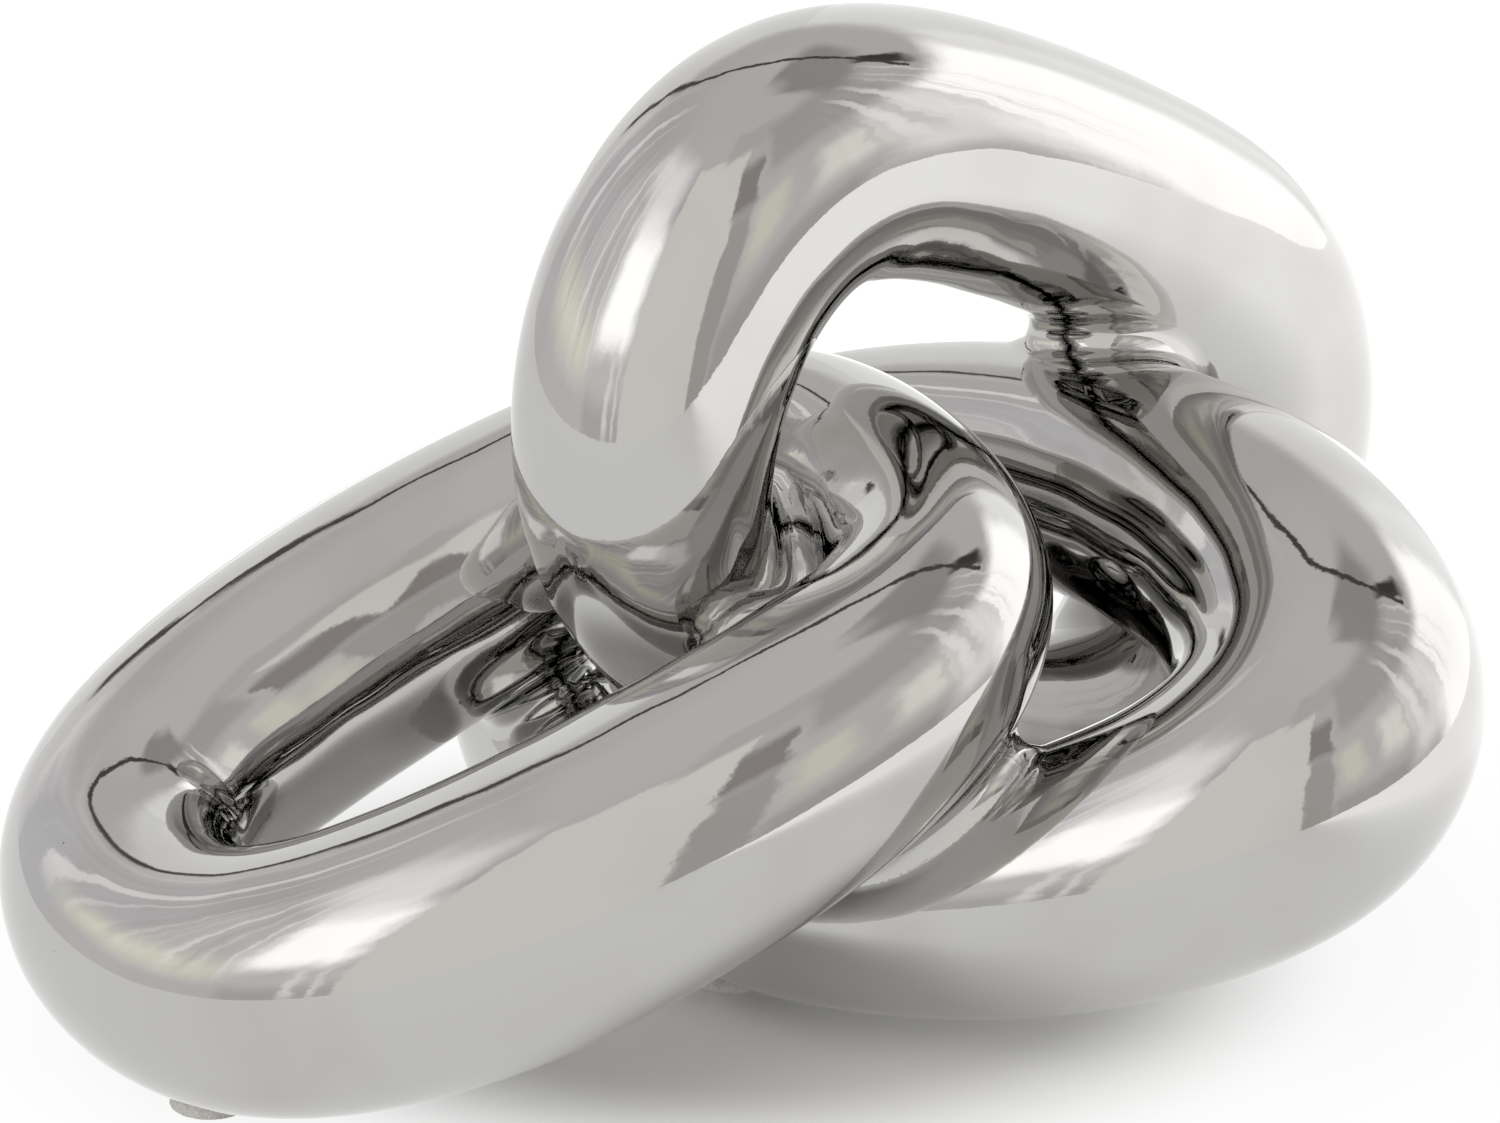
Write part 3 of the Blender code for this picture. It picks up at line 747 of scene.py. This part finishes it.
def studio_surroundings(material):
    """Soft walls, curtains and windows round the sculpture, which only its glaze shows."""
    paint = Paint(material)
    way = paint.node("ShaderNodeVectorMath", {"operation": "NORMALIZE"}, {0: paint.place()})
    parts = paint.node("ShaderNodeSeparateXYZ", None, {0: way})
    across, deep, high = [Shade(paint, socket) for socket in parts.socket.node.outputs]
    azimuth = paint.node("ShaderNodeMath", {"operation": "ARCTAN2"}, {0: across, 1: -1.0 * deep})
    azimuth = azimuth * math.degrees(1) + paint.wander(way, *AZIMUTH_WANDER)
    elevation = paint.node("ShaderNodeMath", {"operation": "ARCSINE"}, {0: high})
    elevation = elevation * math.degrees(1) + paint.wander(way, *ELEVATION_WANDER)

    color = paint.mix(paint.step(elevation, *CEILING_STEP), WALL, CEILING)
    for turns, heights, soft_side, soft_end, lean, patch in SURROUNDINGS:
        share = paint.band(azimuth + elevation * lean, *turns, soft_side)
        share = share * paint.band(elevation, *heights, soft_end)
        color = paint.mix(share, color, (*patch, 1.0))

    folds = paint.node("ShaderNodeTexNoise", {"noise_dimensions": "1D"}, {
        "W": azimuth + elevation * FOLD_LEAN, "Scale": FOLD_SCALE, "Detail": 2.0})
    curtain = paint.band(azimuth, *LEFT_CURTAIN) + paint.band(azimuth, *RIGHT_CURTAIN)
    curtain = curtain * paint.band(elevation, *CURTAIN_HEIGHTS)
    color = paint.mix(paint.step(folds, 0.50, 0.72) * curtain * LIGHT_SHARE, color, FOLD_LIGHT)
    color = paint.mix(paint.step(folds, 0.50, 0.30) * curtain * SHADE_SHARE, color, FOLD_SHADE)

    beam = paint.measure("DOT_PRODUCT", way, BEAM_AXIS) + paint.wander(way, *BEAM_WANDER)
    share = paint.band(beam, *BEAM_BAND) * (elevation > BEAM_START)
    color = paint.mix(share, color, BEAM_COLOR)
    shader = paint.node("ShaderNodeEmission", None, {"Color": color, "Strength": 1.0})
    paint.node("ShaderNodeOutputMaterial", None, {0: shader})
    material.cycles.emission_sampling = "NONE"
    return material


class CHAIN_OT_stage(bpy.types.Operator):
    """Lay the pale floor, put up the surroundings and set the camera"""

    bl_idname = "chain.stage"
    bl_label = "Floor, Surroundings and Camera"

    def execute(self, context):
        studio = chain_settings().studio
        scene = context.scene
        scene.view_settings.view_transform = "Standard"

        bpy.ops.mesh.primitive_circle_add(vertices=FLOOR_SIDES, radius=studio.floor_radius,
                                          fill_type="NGON")
        floor = context.object
        floor.name = "floor"
        floor.data.materials.append(named_material("floor_paper", pale_floor))
        bpy.ops.mesh.primitive_uv_sphere_add(segments=ROOM_SIDES, ring_count=ROOM_SIDES // 2,
                                             radius=studio.room_radius)
        room = context.object
        room.name = "surroundings"
        room.data.materials.append(named_material("studio_surroundings", studio_surroundings))
        room.visible_camera = False

        scene.world = bpy.data.worlds.new("white_beyond")
        paint = Paint(scene.world)
        camera_ray, mirror_ray, glass_ray = paint.rays()
        white = paint.mix(camera_ray + mirror_ray + glass_ray, tuple(studio.light),
                          tuple(studio.beyond))
        paint.node("ShaderNodeOutputWorld", None, {
            0: paint.node("ShaderNodeBackground", None, {0: white, 1: 1.0})})

        lens = bpy.data.cameras.new("camera")
        lens.lens = studio.lens
        lens.shift_x, lens.shift_y = studio.shift
        camera = bpy.data.objects.new("camera", lens)
        scene.collection.objects.link(camera)
        rise = studio.elevation
        back = Vector((0.0, -math.cos(rise), math.sin(rise)))
        upright = Matrix.Rotation(math.pi / 2 - rise, 4, "X")
        rolled = upright @ Matrix.Rotation(studio.roll, 4, "Z")
        camera.matrix_world = Matrix.Translation(
            Vector(studio.target) + studio.distance * back) @ rolled
        scene.camera = camera
        return {"FINISHED"}


class CHAIN_OT_links(bpy.types.Operator):
    """Cast the three links and glaze them"""

    bl_idname = "chain.links"
    bl_label = "Links"

    nodes = {"left": ("link_left",), "right": ("link_right",),
             "top": ("link_top_upper_half", "link_top_lower_half")}

    def execute(self, context):
        casting = chain_settings().casting
        glaze = named_material("mirror_glaze", mirror_glaze)
        made = links()
        for name, skin in skins(made).items():
            piece = show("glazed_link_" + name, skin.verts, skin.faces, glaze)
            self.drill(piece, made[name], casting)
            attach(piece, "root")
            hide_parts(*self.nodes[name])
        return {"FINISHED"}

    def drill(self, piece, link, casting):
        """Sink the vent into the underside, with a drill that stands half outside it."""
        angle = np.array([link.shape.vent_angle])
        middle = link.oval(angle)[0] @ link.axes.T + link.place
        bottom = middle[2] - link.radius(angle)[0]
        bpy.ops.mesh.primitive_cylinder_add(
            vertices=VENT_SIDES, radius=casting.vent_radius, depth=2 * casting.vent_depth,
            location=(middle[0], middle[1], bottom))
        cutter = bpy.context.object
        cut = piece.modifiers.new("vent", "BOOLEAN")
        cut.operation = "DIFFERENCE"
        cut.solver = "EXACT"
        cut.object = cutter
        bpy.context.view_layer.update()
        seen = piece.evaluated_get(bpy.context.evaluated_depsgraph_get())
        drilled = bpy.data.meshes.new_from_object(seen)
        piece.modifiers.clear()
        piece.data = drilled
        bpy.data.objects.remove(cutter)


class CHAIN_OT_slip_joints(bpy.types.Operator):
    """Roll slip into the crevices between the links"""

    bl_idname = "chain.slip_joints"
    bl_label = "Slip Joints"

    # Node, the two links and where they touch, in degrees round each
    joints = (
        ("slip_left_top", "left", "top", (6, 242)),
        ("slip_left_right_front", "left", "right", (298, 298)),
        ("slip_left_right_back", "left", "right", (79, 214)),
        ("slip_top_right_upper", "top", "right", (68, 90)),
        ("slip_top_right_lower", "top", "right", (248, 264)),
    )

    def execute(self, context):
        casting = chain_settings().casting
        glaze = named_material("mirror_glaze", mirror_glaze)
        made = links()
        surfaces = skins(made)
        for node, one, other, near in self.joints:
            first, second = made[one], made[other]
            path = even_ring(roll_round(first, second, near, casting.roll), casting.slip_step)
            spots, normals = [], []
            for point in path:
                centre, out_a, out_b = ball_centre(first, second, point, casting.roll)
                ring, ring_normals = slip_ring(centre, out_a, out_b, casting.roll,
                                               (surfaces[one], surfaces[other]), casting)
                spots.append(ring)
                normals.append(ring_normals)
            faces = ring_faces(len(spots), len(spots[0]))
            piece = show("glazed_" + node, np.vstack(spots), faces, glaze, np.vstack(normals))
            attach(piece, "root")
            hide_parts(node)
        return {"FINISHED"}


class CHAIN_OT_felt_pads(bpy.types.Operator):
    """Cut the felt pads and press them to the links"""

    bl_idname = "chain.felt_pads"
    bl_label = "Felt Pads"

    sides = 72
    flat_shares = (0.3, 0.65, 1.0)          # rings over the flat bottom
    edge_turns = (0.5, 1.0, math.pi / 2)    # rings up the rounded edge, in radians
    rings = 14                              # rings over the top, closer towards the edge
    crowding = 1.3                          # how much closer they lie there
    rim_rings = 3.0                         # one in so many of them rounds the top's edge
    hub = 0.05                              # radius of the last ring, as a share of the pad's
    tuft = 0.0011                           # length of a tuft of the nap
    under = -0.01                           # height under the floor, to look up from

    def execute(self, context):
        pads = chain_settings().pads
        felt = named_material("wool_felt", wool_felt)
        made = links()
        for name, skin in skins(made).items():
            verts = self.disc(made[name].lowest(), skin, pads)
            count = len(verts) // self.sides
            last = (count - 1) * self.sides
            faces = ring_faces(count, self.sides)[:last]
            faces.append(tuple(range(self.sides))[::-1])
            faces.append(tuple(range(last, last + self.sides)))
            piece = show("felt_" + name, verts, faces, felt)
            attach(piece, "root")
            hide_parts("felt_pad_" + name)
        return {"FINISHED"}

    def disc(self, low, skin, pads):
        """Rings of points over the bottom, the edge and the top of a pad."""
        bottoms = [(share * (pads.radius - pads.edge), 0.0) for share in self.flat_shares]
        bottoms += [(pads.radius - pads.edge * (1 - math.sin(angle)),
                     pads.edge * (1 - math.cos(angle))) for angle in self.edge_turns]
        verts = []
        for reach, rise in bottoms:
            verts += [self.spot(low, reach, side, pads, rise) for side in range(self.sides)]
        for step in range(self.rings + 1):
            share = step / self.rings
            reach = pads.radius * (1 - (1 - self.hub) * share ** self.crowding)
            down = pads.edge * (1 - min(1.0, self.rim_rings * share)) ** 2
            for side in range(self.sides):
                x, y, _ = self.spot(low, reach, side, pads, 0.0)
                hit = skin.tree.ray_cast(Vector((x, y, self.under)), Vector((0, 0, 1)))[0]
                verts.append((x, y, hit.z - down))
        return np.array(verts)

    def spot(self, low, reach, side, pads, rise):
        """A point of the pad at a reach from its middle, moved a little by the nap."""
        angle = 2 * math.pi * side / self.sides
        x = low[0] + reach * math.cos(angle)
        y = low[1] + reach * math.sin(angle)
        nap = pads.nap * noise.noise(Vector((x, y, rise)) / self.tuft)
        return x + nap * math.cos(angle), y + nap * math.sin(angle), rise


class CHAIN_PT_sculpture(bpy.types.Panel):
    """Buttons of the ceramic chain sculpture"""

    bl_idname = "CHAIN_PT_sculpture"
    bl_label = "Ceramic Chain"
    bl_space_type = "VIEW_3D"
    bl_region_type = "UI"
    bl_category = "Chain"

    def draw(self, context):
        column = self.layout.column()
        for operator in OPERATORS:
            column.operator(operator.bl_idname)
        chain = context.scene.chain
        for group in (chain.left, chain.top, chain.right, chain.casting, chain.pads,
                      chain.glaze, chain.studio):
            box = column.box()
            box.label(text=type(group).__name__)
            for key in type(group).__annotations__:
                box.prop(group, key)


OPERATORS = (CHAIN_OT_stage, CHAIN_OT_links, CHAIN_OT_slip_joints, CHAIN_OT_felt_pads)
CLASSES = (LeftLink, TopLink, RightLink, Casting, Pads, Glaze, Studio, ChainSettings,
           *OPERATORS, CHAIN_PT_sculpture)


def register():
    """Make the settings, operators and panel known to Blender."""
    for made in CLASSES:
        bpy.utils.register_class(made)
    bpy.types.Scene.chain = PointerProperty(type=ChainSettings)


def unregister():
    """Take them away again."""
    del bpy.types.Scene.chain
    for made in reversed(CLASSES):
        bpy.utils.unregister_class(made)


def main():
    """Build the stage and every piece."""
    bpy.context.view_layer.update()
    register()
    bpy.ops.chain.stage()
    bpy.ops.chain.links()
    bpy.ops.chain.slip_joints()
    bpy.ops.chain.felt_pads()


if __name__ == "__main__":
    main()
